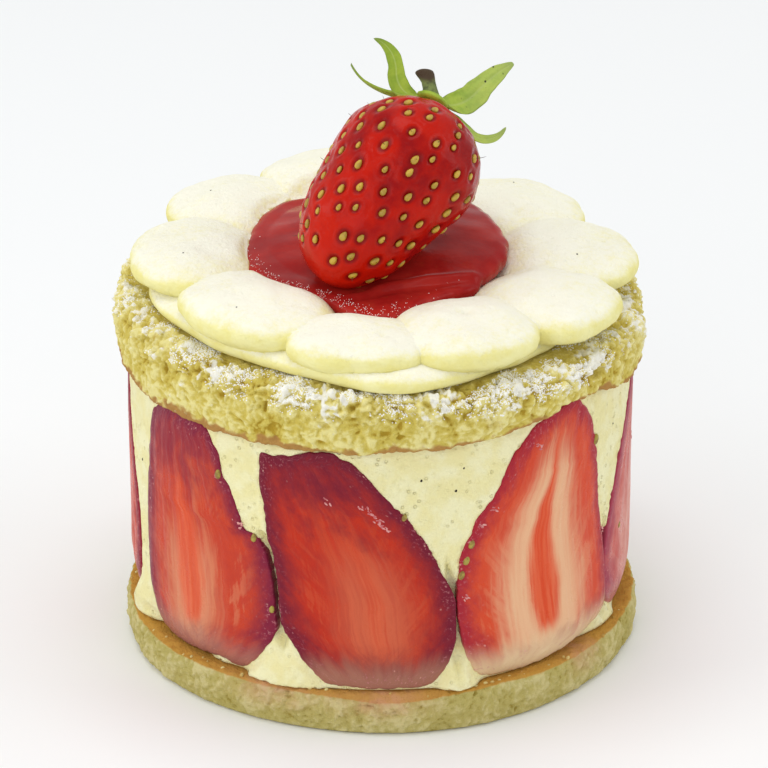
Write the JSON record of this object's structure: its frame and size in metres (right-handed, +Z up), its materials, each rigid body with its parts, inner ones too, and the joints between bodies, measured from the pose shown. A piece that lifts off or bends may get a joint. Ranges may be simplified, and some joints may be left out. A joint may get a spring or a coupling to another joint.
{
  "type": "strawberry cream cake",
  "caption": "Small round sponge cake filled with vanilla cream, ringed with halved strawberries and topped with piped cream, coulis and a whole strawberry.",
  "frame": {"origin": "centre of the flat underside of the lower sponge", "axes": "+Z up from the underside to the whole strawberry, -Y towards the front, +X to the right as seen from the front"},
  "size_m": [0.0738, 0.0738, 0.083],
  "materials": {
    "sponge": "matt, open crumb",
    "cream": "satin",
    "strawberry": "moist",
    "coulis": "gloss",
    "leaf": "satin"
  },
  "bodies": {
    "root": {"base_sponge": "sponge", "cream_filling": "cream", "strawberry_slice_1": "strawberry", "strawberry_slice_2": "strawberry", "strawberry_slice_3": "strawberry", "strawberry_slice_4": "strawberry", "strawberry_slice_5": "strawberry", "strawberry_slice_6": "strawberry", "strawberry_slice_7": "strawberry", "strawberry_slice_8": "strawberry", "top_sponge": "sponge", "piped_cream": "cream", "strawberry_coulis": "coulis", "whole_strawberry": "strawberry", "calyx": "leaf"}
  },
  "joints": []
}
